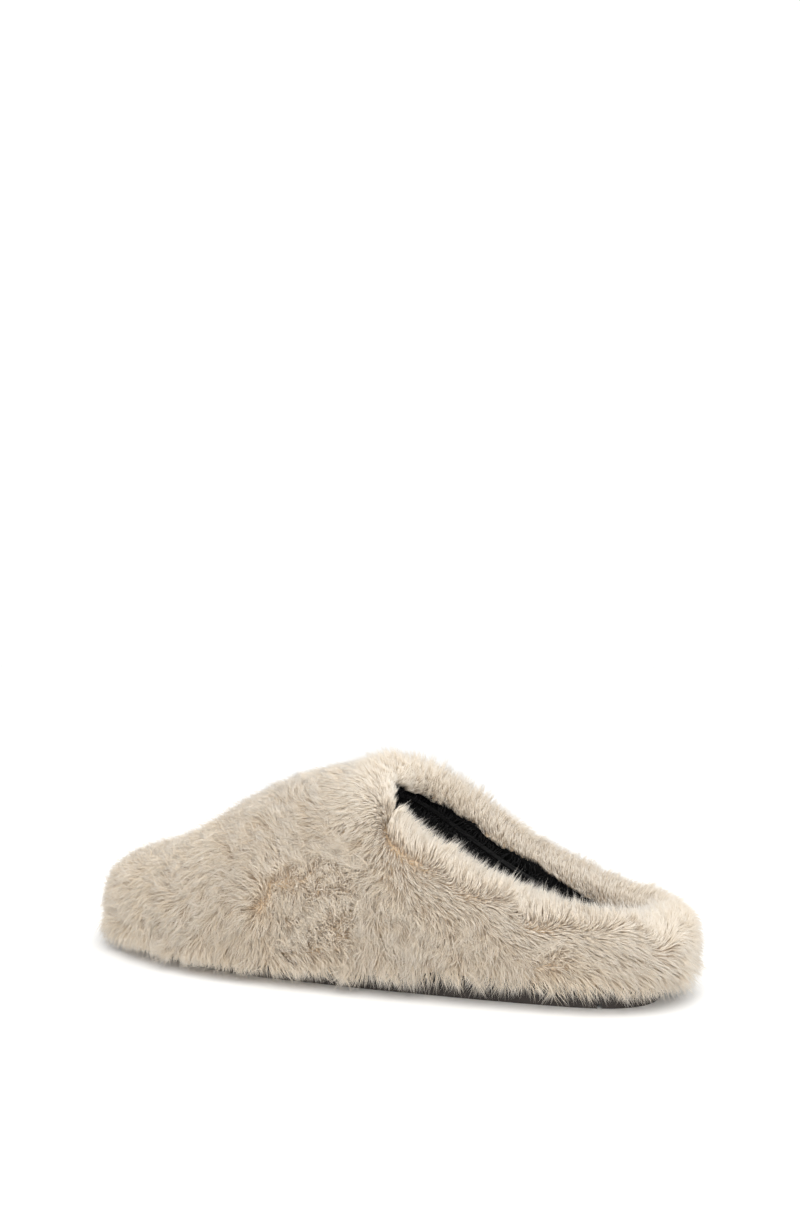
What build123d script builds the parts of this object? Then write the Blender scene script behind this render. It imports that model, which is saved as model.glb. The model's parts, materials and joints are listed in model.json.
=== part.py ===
"""Fluffy house slipper: a left-foot slip-on mule in layers, from the long outer pile to the plush inside.

Frame: +Z up, the toe towards -Y, +X is the outer side of the foot. The origin is on the floor under the
middle of the slipper. All sizes are in millimetres.
"""
from build123d import *
import os

os.makedirs("parts", exist_ok=True)

# ---------------------------------------------------------------- driving dimensions
HALF_LENGTH = 142.0
# Where the side walls end and the crown begins.
SPRING = 22.0
# Roundness of the crown's cross section, and of the plan outline at the toe and the heel (2 = ellipse).
CROWN_POWER = 2.2
TOE_POWER = 2.9
HEEL_POWER = 3.2
# Share of the crown's height left at the very tips, and how late the crown starts to close towards them.
TIP_CROWN_SHARE = 0.35
TIP_CROWN_POWER = 5.0

# Outer surface of the pile: (place along the half length, inner half width, outer half width, crown).
STATIONS = [
    (-0.998, 54.0, 49.0, 44.0),
    (-0.985, 54.0, 49.0, 44.0),
    (-0.93, 55.0, 51.0, 46.0),
    (-0.80, 58.0, 55.0, 48.5),
    (-0.62, 60.0, 59.0, 56.0),
    (-0.42, 60.0, 61.0, 70.5),
    (-0.20, 58.0, 60.0, 83.5),
    (0.03, 55.0, 57.0, 90.0),
    (0.25, 52.0, 54.0, 90.0),
    (0.46, 50.0, 51.0, 83.0),
    (0.66, 49.0, 49.0, 73.0),
    (0.82, 49.0, 49.0, 65.0),
    (0.93, 49.0, 49.0, 60.0),
    (0.985, 48.0, 48.0, 58.0),
    (0.998, 48.0, 48.0, 58.0),
]

# Depth of each layer's outer face below the tips of the pile.
PILE = 11.0
PADDING_DEPTH = 12.2
LINING_DEPTH = 14.5
CAVITY_DEPTH = 18.5

# Behind the throat the slipper is open, so there the inner bodies keep most of the crown's height.
THROAT_PLACE = 0.1
OPEN_SHARE = 0.35

# Collar line seen from the side, from above the throat round to the back of the heel: (y, z).
COLLAR = [(-2.0, 114.0), (5.0, 101.0), (16.0, 88.0), (38.0, 70.5), (75.0, 51.0), (112.0, 39.0), (160.0, 32.0)]
# How far the cloth layers stop short of the collar, and how far the pile turns down inside it.
ROLL = (-8.0, -8.0)
FACING = (-5.0, -16.0)
THREAD = 1.2

# Sole.
OUTSOLE_HEIGHT = 4.0
FRINGE_HEIGHT = 3.0
TOE_BED = 6.5
HEEL_BED = 13.0
BED_RAMP = (-45.0, 55.0)
BED_RADIUS = 90.0
BOARD = 1.0
BED_FOAM = 2.5
BED_PLUSH = 4.0
# The blank that the sole is cut from reaches below the floor, and is trimmed flat there.
BLANK_FLOOR = -1.0
GROOVE = (3.0, 2.0)
GROOVE_PITCH = 8.0
# Tread under the ball and under the heel: (middle, number of grooves, length of a groove).
TREADS = [(-46.0, 12, 78.0), (86.0, 8, 56.0)]

# Stitches that hold the upper to the insole board.
STITCH_LENGTH = 3.8
STITCH_PITCH = 6.0
STITCH_ROWS = 46

# Panels.
TOE_SEAM = -88.0
SIDE_SEAM = [(-14.0, -5.0), (38.0, 98.0)]
PUFF_END = -72.0
COUNTER_START = 52.0
HEEL_SEAM_START = 100.0

# Half size of the cutting bodies, and how high they go.
REACH = 170.0
HEADROOM = 160.0


# ---------------------------------------------------------------- shared bodies
def end_rounding(place):
    """Share of the full width left at a place along the half length."""
    power = TOE_POWER if place < 0 else HEEL_POWER
    return (1 - abs(place) ** power) ** (1 / power)


def envelope(inset, floor):
    """Closed body of the slipper's outer shape, drawn in by `inset`, from `floor` up to its crown."""
    shoulder = 0.5 ** (1 / CROWN_POWER)
    with BuildPart() as body:
        for place, inner, outer, crown in STATIONS:
            taper = end_rounding(place)
            left = -(inner - inset) * taper
            right = (outer - inset) * taper
            middle = (left + right) / 2
            across = (right - left) / 2 * shoulder
            roof = crown - inset * (OPEN_SHARE if place > THROAT_PLACE else 1.0)
            closing = (1 - abs(place) ** TIP_CROWN_POWER) ** 0.5
            top = SPRING + (roof - SPRING) * (TIP_CROWN_SHARE + (1 - TIP_CROWN_SHARE) * closing)
            up = SPRING + (top - SPRING) * shoulder
            with BuildSketch(Plane.XZ.offset(-place * (HALF_LENGTH - inset))):
                with BuildLine():
                    Line((right, floor), (left, floor))
                    Line((left, floor), (left, SPRING))
                    Spline((left, SPRING), (middle - across, up), (middle, top), tangents=[(0, 1), (1, 0)])
                    Spline((middle, top), (middle + across, up), (right, SPRING), tangents=[(1, 0), (0, -1)])
                    Line((right, SPRING), (right, floor))
                make_face()
        loft()
    return body.part


def above_collar(shift):
    """Everything above the collar line, with the line moved by `shift` in Y and Z."""
    line = [(y + shift[0], z + shift[1]) for y, z in COLLAR]
    with BuildPart() as region:
        with BuildSketch(Plane.YZ):
            with BuildLine():
                Spline(*line)
                Polyline(line[-1], (REACH, HEADROOM), (line[0][0], HEADROOM), line[0])
            make_face()
        extrude(amount=REACH, both=True)
    return region.part


def below_bed(height):
    """Everything under the footbed line, raised by `height`."""
    toe, heel = TOE_BED + height, HEEL_BED + height
    with BuildPart() as region:
        with BuildSketch(Plane.YZ):
            with BuildLine():
                FilletPolyline(
                    (-REACH, toe), (BED_RAMP[0], toe), (BED_RAMP[1], heel), (REACH, heel), radius=BED_RADIUS
                )
                Polyline((REACH, heel), (REACH, -REACH), (-REACH, -REACH), (-REACH, toe))
            make_face()
        extrude(amount=REACH, both=True)
    return region.part


def slab(start, end):
    """Everything between two stations along the length."""
    with BuildPart() as region:
        with Locations((0, (start + end) / 2, 0)):
            Box(2 * REACH, end - start, 2 * REACH)
    return region.part


def behind_side_seam(shift=0.0):
    """Everything behind the slanted side seams, moved back by `shift`."""
    (low_y, low_z), (high_y, high_z) = SIDE_SEAM
    with BuildPart() as region:
        with BuildSketch(Plane.YZ):
            with BuildLine():
                Polyline(
                    (low_y + shift, low_z),
                    (high_y + shift, high_z),
                    (high_y + shift, HEADROOM),
                    (REACH, HEADROOM),
                    (REACH, low_z),
                    close=True,
                )
            make_face()
        extrude(amount=REACH, both=True)
    return region.part


pile_body = envelope(0, FRINGE_HEIGHT)
thread_body = envelope(PILE - THREAD, FRINGE_HEIGHT)
cloth_body = envelope(PILE, BLANK_FLOOR)
padding_body = envelope(PADDING_DEPTH, 0)
lining_body = envelope(LINING_DEPTH, 0)
facing_thread_body = envelope(CAVITY_DEPTH - THREAD, 0)
cavity = envelope(CAVITY_DEPTH, 0)

above_rim = above_collar((0, 0))
above_roll = above_collar(ROLL)
above_facing = above_collar(FACING)
above_facing_seam = above_collar((FACING[0] - THREAD, FACING[1] - THREAD))

under_bed = below_bed(0)
under_board_top = below_bed(BOARD)
under_foam_top = below_bed(BOARD + BED_FOAM)
under_plush_top = below_bed(BOARD + BED_FOAM + BED_PLUSH)

rear = behind_side_seam()
side_seam_band = behind_side_seam(-THREAD / 2) - behind_side_seam(THREAD / 2)

# ---------------------------------------------------------------- sole
with BuildPart() as outsole:
    add(cloth_body)
    split(bisect_by=Plane.XY.offset(OUTSOLE_HEIGHT), keep=Keep.BOTTOM)
    split(bisect_by=Plane.XY, keep=Keep.TOP)
    with BuildSketch(Plane.XY):
        for middle, count, length in TREADS:
            with Locations((0, middle)):
                with GridLocations(1, GROOVE_PITCH, 1, count):
                    SlotOverall(length, GROOVE[0])
    extrude(amount=GROOVE[1], mode=Mode.SUBTRACT)

with BuildPart() as midsole:
    add(cloth_body)
    split(bisect_by=Plane.XY.offset(OUTSOLE_HEIGHT), keep=Keep.TOP)
    add(under_bed, mode=Mode.INTERSECT)

with BuildPart() as insole_board:
    add(cloth_body)
    add(under_board_top, mode=Mode.INTERSECT)
    add(under_bed, mode=Mode.SUBTRACT)

with BuildPart() as footbed_foam:
    add(cavity)
    add(under_foam_top, mode=Mode.INTERSECT)
    add(under_board_top, mode=Mode.SUBTRACT)

with BuildPart() as footbed_plush:
    add(cavity)
    add(under_plush_top, mode=Mode.INTERSECT)
    add(under_foam_top, mode=Mode.SUBTRACT)

# ---------------------------------------------------------------- stitching
with BuildPart() as stitch_bars:
    with GridLocations(1, STITCH_PITCH, 1, STITCH_ROWS):
        Box(2 * REACH, STITCH_LENGTH, 2 * REACH)

with BuildPart() as lasting_stitches:
    add(cloth_body)
    add(padding_body, mode=Mode.SUBTRACT)
    add(below_bed(BOARD + THREAD), mode=Mode.INTERSECT)
    add(under_board_top, mode=Mode.SUBTRACT)
    add(stitch_bars.part, mode=Mode.INTERSECT)

with BuildPart() as thread_layer:
    add(thread_body)
    add(cloth_body, mode=Mode.SUBTRACT)
    add(above_roll, mode=Mode.SUBTRACT)

with BuildPart() as toe_seam_thread:
    add(thread_layer.part)
    add(slab(TOE_SEAM - THREAD / 2, TOE_SEAM + THREAD / 2), mode=Mode.INTERSECT)

with BuildPart() as side_seam_thread_lateral:
    add(thread_layer.part)
    add(side_seam_band, mode=Mode.INTERSECT)
    split(bisect_by=Plane.YZ, keep=Keep.TOP)

with BuildPart() as side_seam_thread_medial:
    add(thread_layer.part)
    add(side_seam_band, mode=Mode.INTERSECT)
    split(bisect_by=Plane.YZ, keep=Keep.BOTTOM)

with BuildPart() as heel_seam_thread:
    add(thread_layer.part)
    split(bisect_by=Plane.XZ.offset(-HEEL_SEAM_START), keep=Keep.BOTTOM)
    split(bisect_by=Plane.YZ.offset(THREAD / 2), keep=Keep.BOTTOM)
    split(bisect_by=Plane.YZ.offset(-THREAD / 2), keep=Keep.TOP)

with BuildPart() as facing_seam_thread:
    add(facing_thread_body)
    add(cavity, mode=Mode.SUBTRACT)
    add(above_facing_seam, mode=Mode.INTERSECT)
    add(above_facing, mode=Mode.SUBTRACT)
    add(above_roll, mode=Mode.SUBTRACT)

# ---------------------------------------------------------------- stiffeners, padding and lining
with BuildPart() as stiffener_layer:
    add(cloth_body)
    add(padding_body, mode=Mode.SUBTRACT)
    add(above_roll, mode=Mode.SUBTRACT)
    add(below_bed(BOARD + THREAD), mode=Mode.SUBTRACT)

with BuildPart() as toe_puff:
    add(stiffener_layer.part)
    split(bisect_by=Plane.XZ.offset(-PUFF_END), keep=Keep.TOP)

with BuildPart() as vamp_interlining:
    add(stiffener_layer.part)
    add(slab(PUFF_END, COUNTER_START), mode=Mode.INTERSECT)

with BuildPart() as heel_counter:
    add(stiffener_layer.part)
    split(bisect_by=Plane.XZ.offset(-COUNTER_START), keep=Keep.BOTTOM)

with BuildPart() as padding_layer:
    add(padding_body)
    add(lining_body, mode=Mode.SUBTRACT)
    add(above_roll, mode=Mode.SUBTRACT)
    add(under_board_top, mode=Mode.SUBTRACT)

with BuildPart() as vamp_padding:
    add(padding_layer.part)
    add(rear, mode=Mode.SUBTRACT)

with BuildPart() as quarter_padding:
    add(padding_layer.part)
    add(rear, mode=Mode.INTERSECT)

with BuildPart() as lining_layer:
    add(lining_body)
    add(cavity, mode=Mode.SUBTRACT)
    add(above_roll, mode=Mode.SUBTRACT)
    add(above_facing_seam, mode=Mode.SUBTRACT)
    add(under_board_top, mode=Mode.SUBTRACT)

with BuildPart() as vamp_lining:
    add(lining_layer.part)
    add(rear, mode=Mode.SUBTRACT)

with BuildPart() as quarter_lining:
    add(lining_layer.part)
    add(rear, mode=Mode.INTERSECT)

# ---------------------------------------------------------------- outer pile panels
with BuildPart() as inside_facing:
    add(lining_body)
    add(above_facing, mode=Mode.INTERSECT)

with BuildPart() as pile_core:
    add(cloth_body)
    add(above_roll, mode=Mode.SUBTRACT)
    add(inside_facing.part, mode=Mode.SUBTRACT)

with BuildPart() as pile_layer:
    add(pile_body)
    add(above_rim, mode=Mode.SUBTRACT)
    add(pile_core.part, mode=Mode.SUBTRACT)
    add(cavity, mode=Mode.SUBTRACT)
    for thread in (toe_seam_thread, side_seam_thread_lateral, side_seam_thread_medial, heel_seam_thread):
        add(thread.part, mode=Mode.SUBTRACT)

with BuildPart() as toe_cap_fur:
    add(pile_layer.part)
    split(bisect_by=Plane.XZ.offset(-TOE_SEAM), keep=Keep.TOP)

with BuildPart() as vamp_fur:
    add(pile_layer.part)
    split(bisect_by=Plane.XZ.offset(-TOE_SEAM), keep=Keep.BOTTOM)
    add(rear, mode=Mode.SUBTRACT)

with BuildPart() as quarter_fur_lateral:
    add(pile_layer.part)
    add(rear, mode=Mode.INTERSECT)
    split(bisect_by=Plane.YZ, keep=Keep.TOP)

with BuildPart() as quarter_fur_medial:
    add(pile_layer.part)
    add(rear, mode=Mode.INTERSECT)
    split(bisect_by=Plane.YZ, keep=Keep.BOTTOM)

# ---------------------------------------------------------------- names and files
pieces = {
    "outsole": outsole,
    "midsole": midsole,
    "insole_board": insole_board,
    "footbed_foam": footbed_foam,
    "footbed_plush": footbed_plush,
    "lasting_stitches": lasting_stitches,
    "toe_seam_thread": toe_seam_thread,
    "side_seam_thread_lateral": side_seam_thread_lateral,
    "side_seam_thread_medial": side_seam_thread_medial,
    "heel_seam_thread": heel_seam_thread,
    "facing_seam_thread": facing_seam_thread,
    "toe_puff": toe_puff,
    "vamp_interlining": vamp_interlining,
    "heel_counter": heel_counter,
    "vamp_padding": vamp_padding,
    "quarter_padding": quarter_padding,
    "vamp_lining": vamp_lining,
    "quarter_lining": quarter_lining,
    "toe_cap_fur": toe_cap_fur,
    "vamp_fur": vamp_fur,
    "quarter_fur_lateral": quarter_fur_lateral,
    "quarter_fur_medial": quarter_fur_medial,
}
for name, piece in pieces.items():
    piece.part.label = name
    export_step(piece.part, f"parts/{name}.step")
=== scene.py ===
"""Fluffy house slipper: the looks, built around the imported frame.

Lengths in this file are in millimetres and in the frame's own axes: +Z up, the toe towards -Y, +X the outer
side of the foot. They become metres when a mesh, light or camera is made.
"""
import json
import math

import bmesh
import bpy
import numpy as np
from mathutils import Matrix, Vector
from mathutils.bvhtree import BVHTree
from mathutils.kdtree import KDTree


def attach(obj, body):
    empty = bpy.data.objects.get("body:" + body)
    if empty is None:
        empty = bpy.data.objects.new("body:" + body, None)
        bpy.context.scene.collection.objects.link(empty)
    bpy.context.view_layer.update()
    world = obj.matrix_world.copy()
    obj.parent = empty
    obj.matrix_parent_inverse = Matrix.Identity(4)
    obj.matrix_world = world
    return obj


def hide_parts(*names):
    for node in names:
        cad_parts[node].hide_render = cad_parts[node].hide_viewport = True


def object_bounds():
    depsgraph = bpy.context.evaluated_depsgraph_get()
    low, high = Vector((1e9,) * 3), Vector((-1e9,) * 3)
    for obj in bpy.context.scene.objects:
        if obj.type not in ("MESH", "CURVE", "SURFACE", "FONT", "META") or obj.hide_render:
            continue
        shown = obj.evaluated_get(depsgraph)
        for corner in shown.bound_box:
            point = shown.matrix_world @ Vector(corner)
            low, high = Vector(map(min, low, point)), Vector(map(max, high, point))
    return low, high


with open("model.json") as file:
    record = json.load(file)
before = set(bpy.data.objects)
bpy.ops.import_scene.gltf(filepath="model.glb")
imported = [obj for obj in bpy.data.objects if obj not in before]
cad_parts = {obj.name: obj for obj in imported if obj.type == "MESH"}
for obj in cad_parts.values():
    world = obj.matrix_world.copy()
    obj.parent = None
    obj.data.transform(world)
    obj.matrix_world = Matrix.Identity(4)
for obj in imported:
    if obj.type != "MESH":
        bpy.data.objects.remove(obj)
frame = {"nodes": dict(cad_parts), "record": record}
cad_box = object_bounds()
nodes = frame["nodes"]
MM = 0.001

# ---------------------------------------------------------------- camera, floor and light
CAMERA_PLACE = (501.5, 277.2, 136.4)
CAMERA_AZIMUTH = 117.88
CAMERA_ELEVATION = -2.48
CAMERA_LENS = 37.30
NEAREST_SEEN = 20
FLOOR_HALF = 20000
FLOOR_COLOUR = (0.955, 0.955, 0.95)
FLOOR_ROUGHNESS = 0.9
WORLD_STRENGTH = 1.06
LIGHT_COLOUR = (1.0, 0.995, 0.98)

azimuth, elevation = math.radians(CAMERA_AZIMUTH), math.radians(CAMERA_ELEVATION)
backward = Vector(
    (math.sin(azimuth) * math.cos(elevation), -math.cos(azimuth) * math.cos(elevation), math.sin(elevation))
)
camera = bpy.data.objects.new("camera", bpy.data.cameras.new("camera"))
camera.data.lens = CAMERA_LENS
camera.location = Vector(CAMERA_PLACE) * MM
camera.rotation_mode = "QUATERNION"
camera.rotation_quaternion = (-backward).to_track_quat("-Z", "Y")
camera.data.clip_start = NEAREST_SEEN * MM
bpy.context.scene.collection.objects.link(camera)
bpy.context.scene.camera = camera
bpy.context.scene.view_settings.view_transform = "Standard"


def floor_material():
    """Matt near-white."""
    material = bpy.data.materials.new("floor")
    material.use_nodes = True
    shader = material.node_tree.nodes["Principled BSDF"]
    shader.inputs["Base Color"].default_value = (*FLOOR_COLOUR, 1)
    shader.inputs["Roughness"].default_value = FLOOR_ROUGHNESS
    return material


def add_floor(half):
    """A square floor at Z = 0, `half` from its middle to each side."""
    mesh = bpy.data.meshes.new("floor")
    corners = [(-half, -half), (half, -half), (half, half), (-half, half)]
    mesh.from_pydata([(x * MM, y * MM, 0) for x, y in corners], [], [(0, 1, 2, 3)])
    floor = bpy.data.objects.new("floor", mesh)
    mesh.materials.append(floor_material())
    bpy.context.scene.collection.objects.link(floor)


def add_area_light(name, place, target, size, power):
    """A square light of this size at a place, turned to a target."""
    light = bpy.data.lights.new(name, "AREA")
    light.size = size * MM
    light.energy = power
    light.color = LIGHT_COLOUR
    lamp = bpy.data.objects.new(name, light)
    lamp.location = Vector(place) * MM
    lamp.rotation_mode = "QUATERNION"
    lamp.rotation_quaternion = (Vector(target) - Vector(place)).to_track_quat("-Z", "Y")
    bpy.context.scene.collection.objects.link(lamp)


world = bpy.data.worlds.new("studio")
world.use_nodes = True
world.node_tree.nodes["Background"].inputs["Color"].default_value = (1, 1, 1, 1)
world.node_tree.nodes["Background"].inputs["Strength"].default_value = WORLD_STRENGTH
bpy.context.scene.world = world
add_floor(FLOOR_HALF)
add_area_light("overhead", place=(150, 250, 900), target=(0, 0, 0), size=700, power=3.0)
add_area_light("key", place=(900, 500, 450), target=(0, 0, 40), size=800, power=6.3)


# ---------------------------------------------------------------- driving values
FUR_NODES = ["toe_cap_fur", "vamp_fur", "quarter_fur_lateral", "quarter_fur_medial"]
WALL_NODES = [
    "toe_puff",
    "vamp_interlining",
    "heel_counter",
    "vamp_padding",
    "quarter_padding",
    "insole_board",
]
PLUSH_NODES = ["vamp_lining", "quarter_lining", "footbed_plush"]
SOLE_NODES = ["outsole", "midsole", "footbed_foam"]

# Collar line seen from the side, and the ends of the opening's middle line along Y.
COLLAR = [(-2.0, 114.0), (5.0, 101.0), (16.0, 88.0), (38.0, 70.5), (75.0, 51.0), (112.0, 39.0), (160.0, 32.0)]
OPENING = (45.0, 92.0)
# Distances from the collar over which the pile turns from lying over it to lying along it, and from along it
# to the body's own lie.
OVER_TO_ALONG = (6.0, 13.0)
ALONG_TO_BODY = (15.0, 27.0)
# How far below the collar line the cream pile is rooted inside the opening, how much deeper that is at the
# heel and on the inner side of the foot, and how far its lower edge wanders up and down.
CREAM_INSIDE = 7.6
DEEPER_AT_HEEL = 2.5
DEEPER_INNER_SIDE = 5.0
EDGE_WAVE = 0.6
EDGE_WAVE_LENGTH = 14.0
# How far below the collar line triangles are offered to either kind of strand, before the edge divides them.
BLACK_FROM = CREAM_INSIDE - 4.0
CREAM_TO = CREAM_INSIDE + 10.0
# Above this height a surface that faces down is the roof of the opening.
ROOF_HEIGHT = 40.0
ROOF_FACING = -0.15
# A surface that faces down more than this is the underside, which carries no pile.
UNDERSIDE_FACING = -0.8
# Share of facing into the opening from which a surface counts as inside it.
INSIDE_SHARE = 0.05

# Stretches over which a share grows from 0 to 1, from the first value to the second.
HEEL_Y = (70.0, 100.0)
THROAT_Y = (35.0, 8.0)
TURNED_BACK_Y = (38.0, 14.0)
OUTWARDS_Y = (60.0, 10.0)
TOE_TO_OPENING_Y = (-25.0, 15.0)
FRONT_Y = (45.0, 5.0)
INNER_SIDE_X = (12.0, -12.0)
TURNED_BACK_X = (0.0, -15.0)
HANGING_Z = (20.0, 7.0)
LOW_Z = (20.0, 10.0)
ROUGH_Z = (82.0, 60.0)
THROAT_REACH = (14.0, 6.0)
DENSE_REACH = (14.0, 8.0)
BLACK_RIM_REACH = (CREAM_INSIDE + 8.0, CREAM_INSIDE + 1.0)
# The same for how far a surface faces away from the opening's middle line, or up.
INSIDE_FACING = (-0.1, -0.6)
OUTSIDE_FACING = (-0.3, 0.5)
TOP_FACING = (-0.2, 0.4)
RIM_TOP_FACING = (0.2, 0.8)

# Backing under the pile: voxel size, how far it stands out from the padded wall outside and inside the
# opening, and how far out from the wall the CAD node that it faces is looked for.
BACKING_VOXEL = 1.4
BACKING_OUT = 8.6
BACKING_IN = 1.6
FACING_REACH = 3.0

# Lie of the pile seen from the side: (y, z, towards the heel, up).
LIE = [
    (-138, 22, -0.5, -0.85),
    (-112, 46, -0.9, -0.4),
    (-98, 14, -0.5, -0.9),
    (-80, 38, -0.65, -0.75),
    (-60, 42, -0.6, -0.8),
    (-62, 14, -0.35, -0.95),
    (-42, 56, -0.95, 0.25),
    (-42, 38, -1.0, 0.05),
    (-40, 17, -0.5, -0.85),
    (-22, 66, -0.8, 0.45),
    (-20, 50, -0.3, 0.9),
    (-8, 34, 1.0, 0.0),
    (-8, 18, 0.7, -0.7),
    (2, 62, -0.75, -0.5),
    (10, 46, 0.1, 1.0),
    (28, 56, -0.75, -0.6),
    (14, 30, 0.8, 0.45),
    (30, 38, 0.35, -0.9),
    (20, 12, 0.2, -0.95),
    (48, 44, 0.75, -0.6),
    (55, 22, 0.45, -0.9),
    (72, 34, 0.6, -0.7),
    (98, 30, 0.9, -0.35),
    (98, 12, 0.6, -0.8),
    (136, 28, 0.8, -0.5),
    (-60, 78, -1.0, 0.0),
    (-15, 92, -0.8, 0.0),
]
LIE_REACH = 9.0
# How much of the sideways lie is lost where the pile hangs down to the floor, and how much the pile beside
# the collar lies downwards.
HANGING_STRAIGHTER = 0.6
BESIDE_DOWN = 0.4
# How far the bands of lie along the collar wander, and over what length.
COLLAR_WAVE = 2.0
COLLAR_WAVE_LENGTH = 30.0
# Swirls that turn the lie: their length, and the angle they turn it by in radians.
SWIRLS = [(38.0, 0.40), (14.0, 0.40)]

# Numbers of locks, tufts and strands, before those that fall on the black part are left out.
LOCKS = 3200
TUFTS = 34000
STRANDS = 185000
# How much the pile is denser at the collar.
COLLAR_DENSITY = 1.2
# Length of a cream strand, and what changes it away from the collar, where the coat is rough, low down, and
# inside the opening.
PILE_LENGTH = 8.5
LONGER_AWAY = 0.5
LONGER_ROUGH = 0.5
LONGER_LOW = 4.0
SHORTER_INSIDE = 3.5
# Tilt of a strand from upright at its root and at its tip, in radians.
ROOT_TILT = 0.65
TIP_TILT = 1.20
# Where the inner side's rim is fuller: its place along Y, its reach, and the extra length there.
FULL_RIM = (26.0, 18.0, 3.5)
# Numbers of black strands on the lining and on the padded wall.
PLUSH_STRANDS = 30000
RIM_PLUSH_STRANDS = 20000

# Random spread from lock to lock, tuft to tuft and strand to strand: turn, lean and curl are in radians, size
# and tone are shares.
LOCK_TURN = 0.25
LOCK_LEAN = 0.05
LOCK_SIZE = 0.08
TUFT_TURN = 0.25
TUFT_LEAN = 0.08
TUFT_SIZE = 0.10
TUFT_CURL = 0.7
TUFT_TONE = 0.12
STRAND_TURN = 0.28
STRAND_LEAN = 0.14
STRAND_SIZE = (0.75, 1.1)
STRAND_CURL = 0.4
STRAND_TONE = 0.18
STRAND_WIDTH = (0.17, 0.27)
# Shares of strands that stand loose from their tuft and that belong to the short under-coat.
LOOSE_SHARE = 0.09
UNDER_SHARE = 0.22
# How a loose strand differs from the others: extra turn, less lean, extra length, less width.
LOOSE_TURN = 0.6
LOOSE_LEAN = 0.4
LOOSE_LONGER = 0.2
LOOSE_THINNER = 0.3
# How an under-coat strand differs: less length, darker.
UNDER_SHORTER = 0.38
UNDER_DARKER = 0.2
# How strongly a strand's tip is drawn to its tuft, and how that pull grows along it.
TUFT_PULL = 0.32
PULL_GROWTH = 1.2
# How much of the turn, lean, curl, pull and swirl is left where the coat is sleek, and how much lighter the
# strands are painted there: painted light on the collar and the top, where light falls on them from above.
SLEEK_TURN = 0.2
SLEEK_LEAN = 0.4
SLEEK_CURL = 0.25
SLEEK_PULL = 0.25
SLEEK_SWIRL = 0.15
SLEEK_PAINTED_LIGHT = 0.2
# Broad light and dark patches: how strong and how long.
PATCH_TONE = 0.06
PATCH_LENGTH = 40.0
# How far strands stand up where lies disagree, how much less so on the rough coat, and at the throat.
STAND_UP = 0.7
STAND_UP_LESS = 0.45
STAND_UP_THROAT = 0.3
# Change of the tilts where the coat is rough and on the full rim, at the root and at the tip.
ROUGH_TILT = 0.05
FULL_ROOT_TILT = 0.3
FULL_TIP_TILT = 0.4
TIP_LEAN = 0.6
DROOP = 0.3
# Gap between the lowest strands and the floor: its base size, random extra, a slow wave, the wave's length
# and the smallest gap. A strand may always reach LEAST_DROP below its root, and keeps LEAST_SHARE of itself.
FLOOR_GAP = 1.6
FLOOR_GAP_SPREAD = 2.4
FLOOR_GAP_WAVE = 0.8
FLOOR_GAP_LENGTH = 25.0
LEAST_GAP = 1.0
LEAST_DROP = 1.5
LEAST_SHARE = 0.1

# Black plush: direction it hangs in, length and width of a strand, its tilt at the root and at the tip, the
# most that it tilts, and its random turn, curl and tone.
PLUSH_LIE = np.array([0, -0.3, -1.0])
PLUSH_LENGTH = (4.0, 7.0)
PLUSH_WIDTH = (0.3, 0.45)
PLUSH_ROOT_TILT = (0.2, 0.6)
PLUSH_TIP_TILT = (0.6, 1.2)
PLUSH_LAST_TILT = 1.35
PLUSH_SWIRL = 0.9
PLUSH_SWIRL_LENGTH = 16.0
PLUSH_TURN = 0.5
PLUSH_CURL = 0.8
PLUSH_TONE = 0.25
# What changes at the black part's rim: upward lie, calmer turn, less length and more tilt.
RIM_UPWARD = 1.8
RIM_CALM = 0.6
RIM_SHORTER = 0.5
RIM_TILT = 0.5
# Density of the plush in the toe, where it is hardly seen.
TOE_DENSITY = 0.12

PILE_SEED = 5
PLUSH_SEED = 6

# Places along a strand where its needle has a ring or its tip, as shares of its length.
STOPS = np.array([0.0, 0.5, 1.0])
# Width of a needle at its rings, as a share of its full width.
TAPER = np.array([1.0, 0.9])
STRANDS_A_PIECE = 19000
# Width of the strip of shades that one strand takes up across the UV square.
UV_STRIP = 1 / 128
# How far the pile may stand out from the CAD model's box along each axis.
PROUD = np.array([9.0, 11.0, 8.0])
LEAST_ROOM = 0.3


# ---------------------------------------------------------------- vector helpers
def unit(v):
    """v at length one."""
    return v / np.maximum(np.linalg.norm(v, axis=-1, keepdims=True), 1e-9)


def dot(a, b):
    """Product of each pair of vectors, kept as a column."""
    return (a * b).sum(-1, keepdims=True)


def along(v, normal):
    """Direction of v within the surface."""
    return unit(v - normal * dot(v, normal))


def turned(v, axis, angle):
    """v, square to the axis, turned about it."""
    return v * np.cos(angle)[:, None] + np.cross(axis, v) * np.sin(angle)[:, None]


def smoothstep(low, high, x):
    """Share that grows smoothly from 0 at `low` to 1 at `high`."""
    t = np.clip((x - low) / (high - low), 0, 1)
    return t * t * (3 - 2 * t)


def raised(least, share):
    """A share from 0 to 1, raised to go from `least` to 1."""
    return least + (1 - least) * share


def waves(points, length, seed, count=24):
    """Smooth noise of about unit size, with features about `length` across."""
    draw = np.random.default_rng(seed)
    vectors = unit(draw.normal(size=(count, 3))) * 2 * math.pi / length * draw.uniform(0.6, 1.4, (count, 1))
    phases = draw.uniform(0, 2 * math.pi, count)
    return np.sin(points @ vectors.T + phases).sum(1) * math.sqrt(2 / count)


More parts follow.
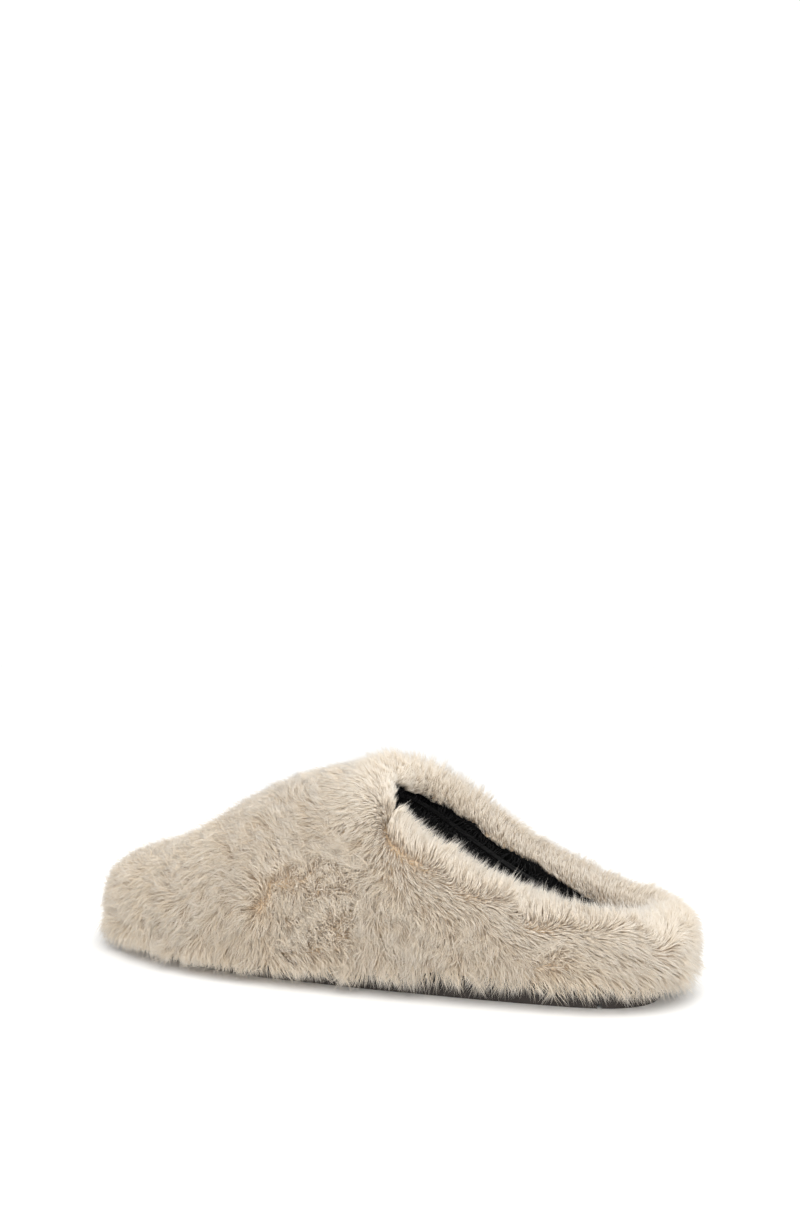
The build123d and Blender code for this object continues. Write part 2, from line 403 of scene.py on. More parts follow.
# ---------------------------------------------------------------- backings
def mesh_arrays(mesh):
    """Vertices in millimetres, their normals, and the triangles."""
    points = np.empty(len(mesh.vertices) * 3)
    mesh.vertices.foreach_get("co", points)
    normals = np.empty(len(mesh.vertices) * 3)
    mesh.vertex_normals.foreach_get("vector", normals)
    mesh.calc_loop_triangles()
    triangles = np.empty(len(mesh.loop_triangles) * 3, int)
    mesh.loop_triangles.foreach_get("vertices", triangles)
    return points.reshape(-1, 3) / MM, normals.reshape(-1, 3), triangles.reshape(-1, 3)


def largest_shell(mesh):
    """Deletes every loose part of the mesh but the largest."""
    edges = np.empty(len(mesh.edges) * 2, int)
    mesh.edges.foreach_get("vertices", edges)
    a, b = edges.reshape(-1, 2).T
    label = np.arange(len(mesh.vertices))
    while True:
        before = label.copy()
        low = np.minimum(label[a], label[b])
        np.minimum.at(label, a, low)
        np.minimum.at(label, b, low)
        label = label[label]
        if (label == before).all():
            break
    keep = label == np.bincount(label).argmax()
    bm = bmesh.new()
    bm.from_mesh(mesh)
    bm.verts.ensure_lookup_table()
    bmesh.ops.delete(bm, geom=[bm.verts[i] for i in np.flatnonzero(~keep)], context="VERTS")
    bm.to_mesh(mesh)
    bm.free()


def remeshed(name, members, voxel, rounds):
    """One closed, even surface round these CAD nodes."""
    bm = bmesh.new()
    for member in members:
        bm.from_mesh(nodes[member].data)
    mesh = bpy.data.meshes.new(name + "_parts")
    bm.to_mesh(mesh)
    bm.free()
    source = bpy.data.objects.new(name + "_parts", mesh)
    bpy.context.scene.collection.objects.link(source)
    remesh = source.modifiers.new("even", "REMESH")
    remesh.mode = "VOXEL"
    remesh.voxel_size = voxel * MM
    smooth = source.modifiers.new("smooth", "SMOOTH")
    smooth.iterations = rounds
    result = bpy.data.meshes.new_from_object(source.evaluated_get(bpy.context.evaluated_depsgraph_get()))
    bpy.data.objects.remove(source)
    bpy.data.meshes.remove(mesh)
    largest_shell(result)
    result.name = name
    piece = bpy.data.objects.new(name, result)
    bpy.context.scene.collection.objects.link(piece)
    result.shade_smooth()
    return piece


def node_finder():
    """Tree of the surfaces that can lie against the wall, and the node that each of its faces belongs to."""
    vertices, triangles, owners, names = [], [], [], FUR_NODES + PLUSH_NODES + SOLE_NODES
    start = 0
    for index, name in enumerate(names):
        points, _, faces = mesh_arrays(nodes[name].data)
        vertices.append(points)
        triangles.append(faces + start)
        owners.append(np.full(len(faces), index))
        start += len(points)
    tree = BVHTree.FromPolygons(
        np.concatenate(vertices).tolist(), np.concatenate(triangles).tolist(), all_triangles=True
    )
    return tree, np.concatenate(owners), names


cad_tree, cad_owner, cad_names = node_finder()


def facing_node(points, normals):
    """Index of the CAD node that lies just outside each point of a surface."""
    probes = points + normals * FACING_REACH
    return np.array([cad_owner[cad_tree.find_nearest(p)[2]] for p in probes.tolist()])


def is_one_of(owner, members):
    """Which of these node indices stand for one of the named nodes."""
    return np.isin(owner, [cad_names.index(m) for m in members])


def relax(values, edges, rounds):
    """Averages a value over its neighbours on a mesh."""
    a, b = edges
    for _ in range(rounds):
        total, count = values.copy(), np.ones(len(values))
        np.add.at(total, a, values[b])
        np.add.at(total, b, values[a])
        np.add.at(count, a, 1)
        np.add.at(count, b, 1)
        values = total / count
    return values


def opening_outward(points):
    """Level direction away from the middle line of the opening."""
    off = points.copy()
    off[:, 1] -= np.clip(points[:, 1], *OPENING)
    off[:, 2] = 0
    return unit(off)


def collar_distance(points):
    """Distance from the collar line, seen from the side."""
    line, best = np.array(COLLAR), np.full(len(points), np.inf)
    for start, end in zip(line, line[1:]):
        step = end - start
        share = np.clip((points[:, 1:] - start) @ step / (step @ step), 0, 1)
        best = np.minimum(best, np.linalg.norm(points[:, 1:] - start - share[:, None] * step, axis=1))
    return best


def opening_inside(points, normals):
    """How far a point faces into the opening, from 0 to 1."""
    return smoothstep(*INSIDE_FACING, dot(normals, opening_outward(points))[:, 0]) * (points[:, 1] > 0)


def inflate(piece):
    """Moves the parts of the wall that carry pile out towards the tips, and returns the nodes they face."""
    mesh = piece.data
    points, normals, _ = mesh_arrays(mesh)
    owner = facing_node(points, normals)
    edges = np.empty(len(mesh.edges) * 2, int)
    mesh.edges.foreach_get("vertices", edges)
    edges = edges.reshape(-1, 2).T
    outward = smoothstep(*OUTSIDE_FACING, dot(normals, opening_outward(points))[:, 0])
    front = smoothstep(*FRONT_Y, points[:, 1])
    outside = np.maximum(outward, front * smoothstep(*TOP_FACING, normals[:, 2]))
    push = np.where(is_one_of(owner, FUR_NODES), BACKING_IN + (BACKING_OUT - BACKING_IN) * outside, 0)
    push = relax(push, edges, rounds=4)
    moved = points + normals * push[:, None]
    mesh.vertices.foreach_set("co", (moved * MM).ravel())
    mesh.update()
    return owner


def lined(points, normals, owner, depth=CREAM_INSIDE):
    """Which points of the wall are black: those deeper inside the opening than `depth` and its extras."""
    heelward = smoothstep(*HEEL_Y, points[:, 1])
    inner_side = smoothstep(*INNER_SIDE_X, points[:, 0])
    edge = depth + DEEPER_AT_HEEL * heelward + DEEPER_INNER_SIDE * inner_side
    deep = collar_distance(points) + EDGE_WAVE * waves(points, EDGE_WAVE_LENGTH, seed=12) > edge
    roof = (normals[:, 2] < ROOF_FACING) & (points[:, 2] > ROOF_HEIGHT)
    return ((opening_inside(points, normals) > INSIDE_SHARE) | is_one_of(owner, PLUSH_NODES) | roof) & deep


def furred(points, normals, owner):
    """Which points of the padded wall can carry cream pile, down to a little below the black part's edge."""
    rim = (collar_distance(points) < CREAM_TO) & (points[:, 1] > 0)
    return (rim | is_one_of(owner, FUR_NODES)) & (normals[:, 2] > UNDERSIDE_FACING)


backing = remeshed("fur_backing", WALL_NODES, BACKING_VOXEL, rounds=10)
backing_owner = inflate(backing)
backing_points, backing_normals, _ = mesh_arrays(backing.data)
backing_lined = lined(backing_points, backing_normals, backing_owner, BLACK_FROM)
backing_furred = furred(backing_points, backing_normals, backing_owner)
lining = remeshed("lining_backing", PLUSH_NODES, BACKING_VOXEL, rounds=4)
lining_points, lining_normals, _ = mesh_arrays(lining.data)
lining_owner = facing_node(lining_points, lining_normals)


# ---------------------------------------------------------------- strands
def scatter(piece, wanted, count, density, seed):
    """Spread-out random points on the triangles whose first corner is wanted: places, normals and corners."""
    draw = np.random.default_rng(seed)
    points, normals, triangles = mesh_arrays(piece.data)
    triangles = triangles[wanted[triangles[:, 0]]]
    a, b, c = (points[triangles[:, k]] for k in range(3))
    weight = np.linalg.norm(np.cross(b - a, c - a), axis=1) * density(points[triangles].mean(1))
    ladder = np.cumsum(weight)
    marks = (np.arange(count) + draw.random(count)) / count * ladder[-1]
    chosen = triangles[np.minimum(np.searchsorted(ladder, marks), len(ladder) - 1)]
    u, v = draw.random((2, count))
    flip = u + v > 1
    u, v = np.where(flip, 1 - u, u), np.where(flip, 1 - v, v)
    shares = np.stack([1 - u - v, u, v], 1)[:, :, None]
    return (points[chosen] * shares).sum(1), unit((normals[chosen] * shares).sum(1)), chosen


def body_lie(points):
    """The body's own lie, from the directions given in LIE, hanging straighter near the floor."""
    side = np.zeros((len(points), 2))
    weight = np.full((len(points), 1), 1e-9)
    for y, z, heelward, up in LIE:
        near = np.exp(-((points[:, 1:] - (y, z)) ** 2).sum(1) / (2 * LIE_REACH**2))[:, None] + 1e-7
        side += near * unit(np.array([heelward, up]))
        weight += near
    side /= weight
    hang = smoothstep(*HANGING_Z, points[:, 2])
    heelwards = side[:, 0] * (1 - HANGING_STRAIGHTER * hang)
    return np.stack([np.zeros(len(points)), heelwards, side[:, 1] - hang], 1)


def collar_lie(points, normals, inner):
    """Lie over the collar: into the opening on the outer side, and out of it elsewhere and inside."""
    outward = opening_outward(points)
    over = np.array([0, 0, 1.0]) * dot(normals, outward) - outward * normals[:, 2:3]
    throat = smoothstep(*TURNED_BACK_Y, points[:, 1])
    inner_side = smoothstep(*TURNED_BACK_X, points[:, 0])
    backwards = np.maximum.reduce([throat, inner_side, inner])
    return over * (1 - 2 * backwards)[:, None]


def beside_lie(points):
    """Lie just below the collar: outwards at the throat, heelwards behind it, and a little down."""
    front = smoothstep(*OUTWARDS_Y, points[:, 1])[:, None]
    heelwards = np.array([0, 1.0, 0]) * (1 - front)
    return opening_outward(points) * front + heelwards - np.array([0, 0, BESIDE_DOWN])


def pile_lie(points, normals):
    """Direction of the pile, how firmly it lies, and how far a point is into the body's own lie."""
    inner = opening_inside(points, normals)
    distance = collar_distance(points) + COLLAR_WAVE * waves(points, COLLAR_WAVE_LENGTH, seed=11)
    leaving = np.maximum(0, smoothstep(*OVER_TO_ALONG, distance) - inner)[:, None]
    away = np.maximum(0, smoothstep(*ALONG_TO_BODY, distance) - inner)[:, None]
    blend = (1 - leaving) * collar_lie(points, normals, inner)
    blend = blend + (leaving - away) * beside_lie(points) + away * body_lie(points)
    blend -= normals * dot(blend, normals)
    firm = np.clip(np.linalg.norm(blend, axis=1), 0, 1)
    angle = sum(size * waves(points, length, seed=20 + k) for k, (length, size) in enumerate(SWIRLS))
    lie = turned(along(blend, normals), normals, angle * raised(SLEEK_SWIRL, away[:, 0]))
    return lie, firm, away[:, 0]


def grow(roots, normals, lie, length, tilt, droop, curl, steps=12):
    """Paths of strands that rise from the surface, lay themselves over and curl: places at each of STOPS.

    tilt holds each strand's angle from the normal at its root and at its tip.
    """
    place, path = roots.copy(), [roots.copy()]
    stops = np.round(STOPS[1:] * steps).astype(int)
    for step in range(1, steps + 1):
        t = (step - 0.5) / steps
        angle = tilt[:, 0] + (tilt[:, 1] - tilt[:, 0]) * t**0.8
        heading = normals * np.cos(angle)[:, None] + turned(lie, normals, curl * t) * np.sin(angle)[:, None]
        heading[:, 2] -= droop * t
        place = place + unit(heading) * (length / steps)[:, None]
        if step in stops:
            path.append(place.copy())
    return np.stack(path, 1)


def nearest(points, centres):
    """Index of the nearest centre to each point."""
    tree = KDTree(len(centres))
    for index, centre in enumerate(centres.tolist()):
        tree.insert(centre, index)
    tree.balance()
    return np.array([tree.find(p)[1] for p in points.tolist()])


def needle_faces(rings):
    """Corner indices of one three-sided needle's faces in a row, and how many corners each face has."""
    tip = rings * 3
    faces, sizes = [0, 2, 1], [3]
    for ring in range(rings - 1):
        for k in range(3):
            low, high = ring * 3, ring * 3 + 3
            faces += [low + k, low + (k + 1) % 3, high + (k + 1) % 3, high + k]
            sizes.append(4)
    last = tip - 3
    for k in range(3):
        faces += [last + k, last + (k + 1) % 3, tip]
        sizes.append(3)
    return np.array(faces), np.array(sizes)


def needle_points(paths, normals, width):
    """Vertices of the needles: three round each path at every stop but the last, and the tip."""
    count, stops = paths.shape[:2]
    rings = stops - 1
    heading = unit(np.gradient(paths, axis=1))
    across = unit(np.cross(heading, normals[:, None, :]))
    other = np.cross(heading, across)
    thickness = TAPER[None, :] * width[:, None] / 2
    corners = []
    for k in range(3):
        angle = 2 * math.pi * k / 3 + math.pi / 6
        offset = across[:, :rings] * math.cos(angle) + other[:, :rings] * math.sin(angle)
        corners.append(paths[:, :rings] + offset * thickness[..., None])
    body = np.stack(corners, 2).reshape(count, rings * 3, 3)
    return np.concatenate([body, paths[:, -1:]], 1)


def needles(name, paths, normals, width, shade, material):
    """Closed three-sided needles along the paths, tapering to a point, with shade and height as their UVs."""
    count, rings = len(paths), paths.shape[1] - 1
    points = needle_points(paths, normals, width)
    faces, sizes = needle_faces(rings)
    first_vertex = np.arange(count)[:, None] * points.shape[1]
    first_corner = np.arange(count)[:, None] * len(faces)
    mesh = bpy.data.meshes.new(name)
    mesh.vertices.add(count * points.shape[1])
    mesh.vertices.foreach_set("co", (points * MM).ravel())
    mesh.loops.add(count * len(faces))
    mesh.loops.foreach_set("vertex_index", (faces + first_vertex).ravel())
    mesh.polygons.add(count * len(sizes))
    starts = np.concatenate([[0], np.cumsum(sizes)[:-1]])
    mesh.polygons.foreach_set("loop_start", (starts + first_corner).ravel())
    mesh.update(calc_edges=True)
    height = np.append(np.repeat(STOPS[:rings], 3), 1.0)[faces]
    spread = np.append(np.tile([0.0, 0.5, 1.0], rings), 0.5)[faces] * UV_STRIP
    across = shade[:, None] * (1 - UV_STRIP) + spread[None, :]
    uv = np.stack([across, np.broadcast_to(height, (count, len(faces)))], 2)
    layer = mesh.uv_layers.new(name="OFBake")
    layer.data.foreach_set("uv", uv.ravel())
    mesh.shade_smooth()
    mesh.materials.append(material)
    piece = bpy.data.objects.new(name, mesh)
    bpy.context.scene.collection.objects.link(piece)
    return piece


# Sockets of a mix node that share their names with others, so that they are known by number.
MIX_VALUES = (2, 3)
MIX_VALUE_RESULT = 0
MIX_COLOURS = (6, 7)
MIX_COLOUR_RESULT = 2


def strand_material(name, dark, light, roughness, sheen, specular):
    """Colour runs from root to tip along V, and from the dark to the light strands along U."""
    material = bpy.data.materials.new(name)
    material.use_nodes = True
    tree = material.node_tree
    shader = tree.nodes["Principled BSDF"]
    shader.inputs["Roughness"].default_value = roughness
    shader.inputs["Sheen Weight"].default_value = sheen
    shader.inputs["Specular IOR Level"].default_value = specular
    uv = tree.nodes.new("ShaderNodeUVMap")
    uv.uv_map = "OFBake"
    split = tree.nodes.new("ShaderNodeSeparateXYZ")
    tree.links.new(uv.outputs["UV"], split.inputs["Vector"])
    ramps = []
    for colours in (dark, light):
        ramp = tree.nodes.new("ShaderNodeValToRGB")
        elements = ramp.color_ramp.elements
        while len(elements) < len(colours):
            elements.new(0.5)
        for element, (place, colour) in zip(elements, colours):
            element.position = place
            element.color = (*colour, 1)
        tree.links.new(split.outputs["Y"], ramp.inputs["Fac"])
        ramps.append(ramp)
    mix = tree.nodes.new("ShaderNodeMix")
    mix.data_type = "RGBA"
    tree.links.new(split.outputs["X"], mix.inputs["Factor"])
    for ramp, socket in zip(ramps, MIX_COLOURS):
        tree.links.new(ramp.outputs["Color"], mix.inputs[socket])
    tree.links.new(mix.outputs[MIX_COLOUR_RESULT], shader.inputs["Base Color"])
    return material


def linear(*srgb):
    """Linear colour of an sRGB colour given from 0 to 255."""
    return tuple((v / 255 / 12.92) if v <= 10 else ((v / 255 + 0.055) / 1.055) ** 2.4 for v in srgb)


cream = strand_material(
    "pile_cream",
    [(0.0, linear(208, 179, 143)), (0.45, linear(218, 199, 171)), (1.0, linear(231, 218, 199))],
    [(0.0, linear(220, 196, 165)), (0.40, linear(233, 220, 202)), (1.0, linear(246, 241, 232))],
    roughness=0.65,
    sheen=0.3,
    specular=0.3,
)
# The black strands lighten towards their tips, the lighter strands most: partly the hair's own tone and
# partly painted highlight for the grey glints on the black hair.
black = strand_material(
    "plush_black",
    [(0.0, (0.002, 0.002, 0.002)), (1.0, (0.005, 0.005, 0.005))],
    [(0.0, (0.003, 0.003, 0.003)), (1.0, (0.020, 0.020, 0.021))],
    roughness=0.5,
    sheen=0.05,
    specular=0.12,
)


# ---------------------------------------------------------------- cream pile and black plush
def even(points):
    """Density of roots that are spread evenly."""
    return np.ones(len(points))


def dense_collar(points):
    """Density of roots that are closer together at the collar."""
    return 1 + COLLAR_DENSITY * smoothstep(*DENSE_REACH, collar_distance(points)) * (points[:, 1] > 0)


def near_opening(points):
    """Density of roots that thin out into the toe."""
    return raised(TOE_DENSITY, smoothstep(*TOE_TO_OPENING_Y, points[:, 1]))


def pile_paths(at, normals, turn, lean, size, curl):
    """Paths of cream strands, and how rough the coat is there: sleek on the collar and top, rough below."""
    lie, firm, away = pile_lie(at, normals)
    rough = away * smoothstep(*ROUGH_Z, at[:, 2])
    lie = turned(lie, normals, turn * raised(SLEEK_TURN, rough))
    lean = lean * raised(SLEEK_LEAN, rough)
    low = smoothstep(*LOW_Z, at[:, 2])
    inner = opening_inside(at, normals)
    place, reach, extra = FULL_RIM
    facing_up = smoothstep(*RIM_TOP_FACING, normals[:, 2])
    full = np.exp(-(((at[:, 1] - place) / reach) ** 2)) * (at[:, 0] < 0) * facing_up
    length = PILE_LENGTH + LONGER_AWAY * away + LONGER_ROUGH * rough + LONGER_LOW * low
    length = (length - SHORTER_INSIDE * inner + extra * full) * size
    # Where lies disagree and at the throat the strands stand up, which keeps partings closed.
    throat = smoothstep(*THROAT_REACH, collar_distance(at)) * smoothstep(*THROAT_Y, at[:, 1])
    slack = np.maximum((STAND_UP - STAND_UP_LESS * rough) * (1 - firm), STAND_UP_THROAT * throat)
    root_tilt = (ROOT_TILT - ROUGH_TILT * rough - FULL_ROOT_TILT * full) * (1 - slack) + lean
    tip_tilt = (TIP_TILT + ROUGH_TILT * rough - FULL_TIP_TILT * full) * (1 - slack) + TIP_LEAN * lean
    tilt = np.stack([root_tilt, tip_tilt], 1)
    droop = DROOP * away + DROOP * low
    return grow(at, normals, lie, length, tilt, droop, curl * raised(SLEEK_CURL, rough)), rough


def within_room(paths, share):
    """Flattens strands that would stand too proud of the CAD model's box."""
    root, reach = paths[:, :1], paths - paths[:, :1]
    low, high = (np.array(corner) / MM for corner in cad_box)
    room = np.where(reach > 0, high + PROUD - share - root, root - low + PROUD - share)
    return root + reach * np.clip(room.clip(LEAST_ROOM) / np.maximum(abs(reach), 1e-6), 0, 1)


def coat_roots(wanted, is_black, count, density, seed):
    """Roots on the wall, on one side of the black part's edge: places, normals and the nodes they face."""
    root, normal, corners = scatter(backing, wanted, count, density, seed)
    owner = backing_owner[corners[:, 0]]
    kept = lined(root, normal, owner) == is_black
    return root[kept], normal[kept], owner[kept]


def strand_pieces(names, kind, owner, paths, normals, width, shade, material):
    """The strands of each of these CAD nodes, as pieces that stand for the node."""
    for name in names:
        chosen = np.flatnonzero(is_one_of(owner, [name]))
        parts = math.ceil(len(chosen) / STRANDS_A_PIECE)
        for part in range(parts):
            some = chosen[part::parts]
            label = f"{name}_{kind}_{part + 1}"
            piece = needles(label, paths[some], normals[some], width[some], shade[some], material)
            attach(piece, "root")
            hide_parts(name)


def make_tufts(draw):
    """Tufts gathered into locks: places and paths, and the turn, lean, size, curl and tone of each tuft."""
    lock_at, _, _ = coat_roots(backing_furred, is_black=False, count=LOCKS, density=even, seed=31)
    at, normal, _ = coat_roots(backing_furred, is_black=False, count=TUFTS, density=dense_collar, seed=32)
    lock_turn = draw.normal(0, LOCK_TURN, len(lock_at))
    lock_lean = draw.normal(0, LOCK_LEAN, len(lock_at))
    lock_size = draw.normal(1, LOCK_SIZE, len(lock_at))
    lock = nearest(at, lock_at)
    turn = lock_turn[lock] + draw.normal(0, TUFT_TURN, len(at))
    lean = lock_lean[lock] + draw.normal(0, TUFT_LEAN, len(at))
    size = lock_size[lock] * draw.normal(1, TUFT_SIZE, len(at))
    curl = draw.normal(0, TUFT_CURL, len(at))
    tone = draw.normal(0, TUFT_TONE, len(at))
    paths, _ = pile_paths(at, normal, turn, lean, size, curl)
    return at, paths, turn, lean, size, curl, tone


def pile_owner(root, owner):
    """The pile's node at each root: the one it faces, or else the side panel of its own side."""
    lateral, medial = cad_names.index("quarter_fur_lateral"), cad_names.index("quarter_fur_medial")
    panel = np.where(root[:, 0] > 0, lateral, medial)
    return np.where(is_one_of(owner, FUR_NODES), owner, panel)


def above_floor(paths, draw):
    """Shortens the strands that would reach the floor, to a ragged line a little above it."""
    root = paths[:, 0]
    lowest = FLOOR_GAP + FLOOR_GAP_SPREAD * draw.random(len(root))
    lowest = lowest + FLOOR_GAP_WAVE * waves(root, FLOOR_GAP_LENGTH, seed=44)
    lowest = np.minimum(np.maximum(lowest, LEAST_GAP), root[:, 2] - LEAST_DROP)
    drop = root[:, 2] - paths[:, -1, 2]
    keep = np.where(paths[:, -1, 2] < lowest, (root[:, 2] - lowest) / np.maximum(drop, 1e-6), 1.0)
    return root[:, None, :] + (paths - root[:, None, :]) * np.clip(keep, LEAST_SHARE, 1)[:, None, None]


def make_pile():
    """The cream pile, each strand a variation of the tuft it is nearest to."""
    draw = np.random.default_rng(PILE_SEED)
    root, normal, owner = coat_roots(
        backing_furred, is_black=False, count=STRANDS, density=dense_collar, seed=33
    )
    owner = pile_owner(root, owner)
    count = len(root)
    tuft_at, tuft_paths, tuft_turn, tuft_lean, tuft_size, tuft_curl, tuft_tone = make_tufts(draw)
    tuft = nearest(root, tuft_at)
    loose = draw.random(count) < LOOSE_SHARE
    under = draw.random(count) < UNDER_SHARE
    turn = tuft_turn[tuft] + draw.normal(0, STRAND_TURN, count) + loose * draw.normal(0, LOOSE_TURN, count)
    lean = tuft_lean[tuft] + draw.normal(0, STRAND_LEAN, count) - loose * LOOSE_LEAN
    size = tuft_size[tuft] * draw.uniform(*STRAND_SIZE, count)
    size = size * (1 + LOOSE_LONGER * loose) * (1 - UNDER_SHORTER * under)
    curl = tuft_curl[tuft] + draw.normal(0, STRAND_CURL, count)
    paths, rough = pile_paths(root, normal, turn, lean, size, curl)
    held = raised(SLEEK_PULL, rough) * np.where(loose, 0.0, 1.0)
    pull = (TUFT_PULL * STOPS**PULL_GROWTH)[None, :, None] * held[:, None, None]
    paths = paths + (tuft_paths[tuft] - paths) * pull
    paths = above_floor(paths, draw)
    paths = within_room(paths, draw.random((count, 1, 1)))
    tone = 0.5 + rough * tuft_tone[tuft] + draw.normal(0, STRAND_TONE, count)
    tone = tone + PATCH_TONE * waves(root, PATCH_LENGTH, seed=45)
    # Sleek strands on the collar and the top are painted lighter: painted light where light falls on them
    # from above.
    tone = np.clip(tone + SLEEK_PAINTED_LIGHT * (1 - rough) - UNDER_DARKER * under, 0, 1)
    width = draw.uniform(*STRAND_WIDTH, count) * (1 - LOOSE_THINNER * loose)
    strand_pieces(FUR_NODES, "pile", owner, paths, normal, width, tone, cream)


def plush_roots():
    """Roots of the black strands on the lining and on the black part of the wall, with normals and nodes."""
    wearing = is_one_of(lining_owner, PLUSH_NODES)
    root, normal, corners = scatter(lining, wearing, PLUSH_STRANDS, near_opening, seed=61)
    inside = (root, normal, lining_owner[corners[:, 0]])
    rim = coat_roots(backing_lined, is_black=True, count=RIM_PLUSH_STRANDS, density=even, seed=63)
    root, normal, owner = (np.concatenate(pair) for pair in zip(inside, rim))
    quarter, vamp = cad_names.index("quarter_lining"), cad_names.index("vamp_lining")
    side = np.where(root[:, 1] > OPENING[0], quarter, vamp)
    return root, normal, np.where(is_one_of(owner, PLUSH_NODES), owner, side)


def make_plush():
    """The black plush, which hangs down inside and stands up against the cream pile's roots."""
    draw = np.random.default_rng(PLUSH_SEED)
    root, normal, owner = plush_roots()
    count = len(root)
    rim = smoothstep(*BLACK_RIM_REACH, collar_distance(root))
    down = along(PLUSH_LIE * (1 - RIM_UPWARD * rim)[:, None], normal)
    turn = PLUSH_SWIRL * waves(root, PLUSH_SWIRL_LENGTH, seed=62) + draw.normal(0, PLUSH_TURN, count)
    lie = turned(down, normal, turn * (1 - RIM_CALM * rim))
    length = draw.uniform(*PLUSH_LENGTH, count) * (1 - RIM_SHORTER * rim)
    tilt = np.stack([draw.uniform(*PLUSH_ROOT_TILT, count), draw.uniform(*PLUSH_TIP_TILT, count)], 1)
    tilt = np.minimum(tilt + RIM_TILT * rim[:, None], PLUSH_LAST_TILT)
    paths = grow(root, normal, lie, length, tilt, 0.0, draw.normal(0, PLUSH_CURL, count))
    tone = np.clip(draw.normal(0.5, PLUSH_TONE, count), 0, 1)
    width = draw.uniform(*PLUSH_WIDTH, count)
    strand_pieces(PLUSH_NODES, "nap", owner, paths, normal, width, tone, black)


make_pile()
make_plush()


# ---------------------------------------------------------------- surfaces of the CAD pieces and the backings
WEAR_LENGTH = 14.0
WEAR_SHARE = 0.4
GLOSS_SPREAD = 0.08
RELIEF_DEPTH = 0.3
# Length of one band of the wave texture at scale 1.
BAND_LENGTH = 0.314


def pattern_output(tree, kind, size):
    """Output of a texture with features about `size` millimetres across."""
    place = tree.nodes.new("ShaderNodeTexCoord").outputs["Object"]
    if kind == "grain":
        texture = tree.nodes.new("ShaderNodeTexNoise")
        texture.inputs["Scale"].default_value = 1 / (size * MM)
        texture.inputs["Detail"].default_value = 4
        tree.links.new(place, texture.inputs["Vector"])
        return texture.outputs["Fac"]
    if kind == "cells":
        texture = tree.nodes.new("ShaderNodeTexVoronoi")
        texture.inputs["Scale"].default_value = 1 / (size * MM)
        tree.links.new(place, texture.inputs["Vector"])
        return texture.outputs["Distance"]
    both = tree.nodes.new("ShaderNodeMath")
    both.operation = "MAXIMUM" if kind == "weave" else "MULTIPLY"
    for index, direction in enumerate(("X", "DIAGONAL" if kind == "twist" else "Y")):
        wave = tree.nodes.new("ShaderNodeTexWave")
        wave.bands_direction = direction
        wave.inputs["Scale"].default_value = BAND_LENGTH / (size * MM)
        wave.inputs["Distortion"].default_value = 0.6
        tree.links.new(place, wave.inputs["Vector"])
        tree.links.new(wave.outputs["Fac"], both.inputs[index])
    return both.outputs["Value"]


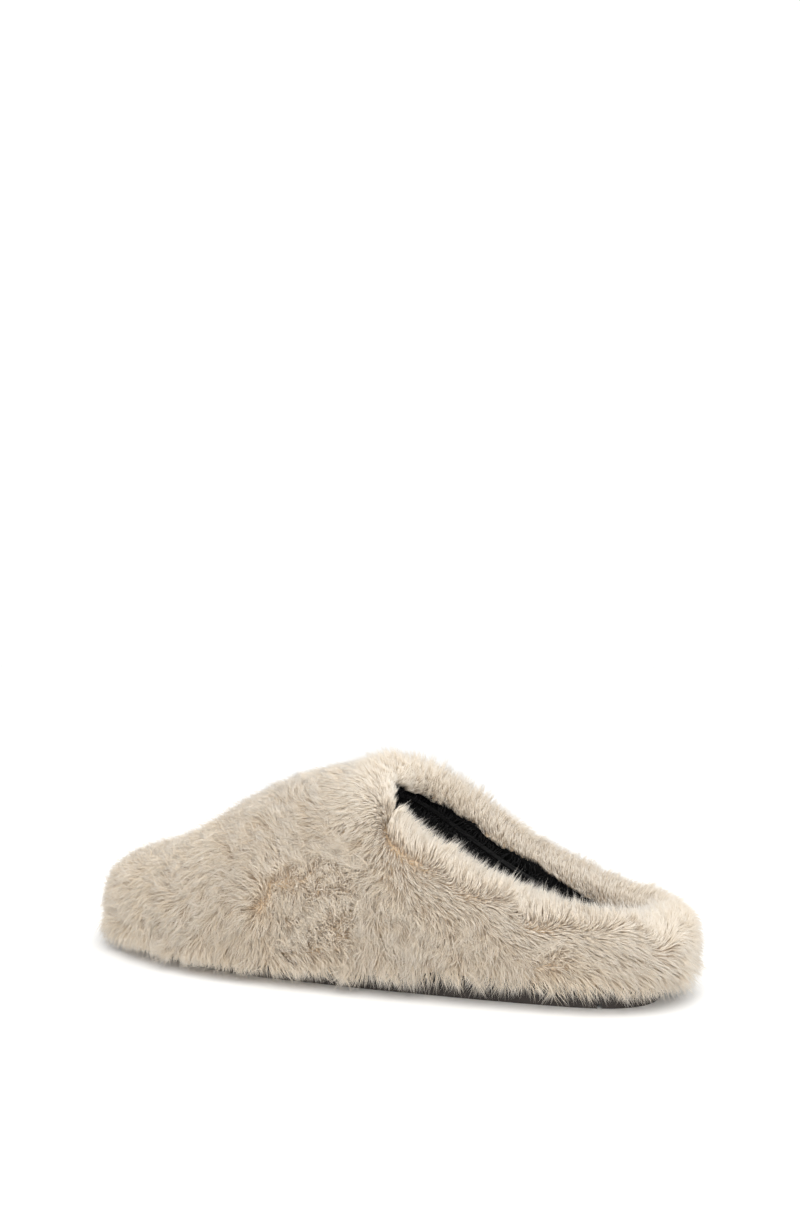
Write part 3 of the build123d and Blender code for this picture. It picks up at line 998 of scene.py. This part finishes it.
def surface_material(name, kind, size, deep, pale, roughness, relief, specular=0.5):
    """Two shades mixed by a fine pattern and broad wear, which also vary its gloss, on a fine relief."""
    material = bpy.data.materials.new(name)
    material.use_nodes = True
    tree = material.node_tree
    shader = tree.nodes["Principled BSDF"]
    shader.inputs["Specular IOR Level"].default_value = specular
    fine = pattern_output(tree, kind, size)
    broad = pattern_output(tree, "grain", WEAR_LENGTH)
    blend = tree.nodes.new("ShaderNodeMix")
    blend.inputs["Factor"].default_value = WEAR_SHARE
    for output, socket in zip((fine, broad), MIX_VALUES):
        tree.links.new(output, blend.inputs[socket])
    mixed = blend.outputs[MIX_VALUE_RESULT]
    ramp = tree.nodes.new("ShaderNodeValToRGB")
    for element, place, colour in zip(ramp.color_ramp.elements, (0.25, 0.75), (deep, pale)):
        element.position = place
        element.color = (*colour, 1)
    tree.links.new(mixed, ramp.inputs["Fac"])
    tree.links.new(ramp.outputs["Color"], shader.inputs["Base Color"])
    gloss = tree.nodes.new("ShaderNodeMapRange")
    gloss.inputs["To Min"].default_value = roughness - GLOSS_SPREAD
    gloss.inputs["To Max"].default_value = roughness + GLOSS_SPREAD
    tree.links.new(mixed, gloss.inputs["Value"])
    tree.links.new(gloss.outputs["Result"], shader.inputs["Roughness"])
    bump = tree.nodes.new("ShaderNodeBump")
    bump.inputs["Strength"].default_value = relief
    bump.inputs["Distance"].default_value = RELIEF_DEPTH * MM
    tree.links.new(fine, bump.inputs["Height"])
    tree.links.new(bump.outputs["Normal"], shader.inputs["Normal"])
    return material


# For each material slot of the CAD pieces: pattern, its size, the two shades, roughness and relief.
SURFACES = {
    "sole_rubber": ("grain", 0.6, (0.014, 0.010, 0.008), (0.034, 0.025, 0.020), 0.62, 0.35),
    "sole_foam": ("cells", 0.9, (0.032, 0.028, 0.025), (0.058, 0.052, 0.046), 0.82, 0.3),
    "cushion_foam": ("cells", 1.1, (0.58, 0.55, 0.46), (0.80, 0.77, 0.68), 0.88, 0.4),
    "board": ("grain", 1.8, (0.32, 0.24, 0.16), (0.50, 0.41, 0.30), 0.86, 0.2),
    "stiffener": ("grain", 0.7, (0.68, 0.66, 0.60), (0.84, 0.82, 0.77), 0.6, 0.15),
    "interlining": ("weave", 0.7, (0.56, 0.54, 0.48), (0.77, 0.75, 0.69), 0.88, 0.4),
    "thread_cream": ("twist", 0.5, (0.48, 0.40, 0.31), (0.72, 0.64, 0.54), 0.6, 0.4),
    "thread_black": ("twist", 0.5, (0.010, 0.010, 0.010), (0.036, 0.036, 0.036), 0.6, 0.4),
}
surfaces = {slot: surface_material(slot, *values) for slot, values in SURFACES.items()}
for subpart in frame["record"]["subparts"]:
    if subpart["material_slot"] in surfaces:
        mesh = nodes[subpart["node"]].data
        mesh.materials.clear()
        mesh.materials.append(surfaces[subpart["material_slot"]])


def knit(name, deep, pale):
    """Matt knit that carries the strands."""
    return surface_material(name, "weave", 1.2, deep, pale, roughness=0.9, relief=0.4, specular=0.1)


# The cream knit's tan, darker than the pile's tips, is partly the knit's own colour and partly painted shade
# for the depth between the strands, where the knit shows through.
knit_cream_painted_depth = knit("knit_cream_painted_depth", linear(196, 172, 142), linear(218, 196, 166))
knit_black = knit("knit_black", (0.002, 0.002, 0.002), (0.006, 0.006, 0.006))
backing.data.materials.append(knit_cream_painted_depth)
backing.data.materials.append(knit_black)
lining.data.materials.append(knit_black)
dark = lined(backing_points, backing_normals, backing_owner)
for polygon in backing.data.polygons:
    polygon.material_index = int(any(dark[i] for i in polygon.vertices))
for piece, slot in ((backing, "pile_cream"), (lining, "plush_black")):
    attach(piece, "root")
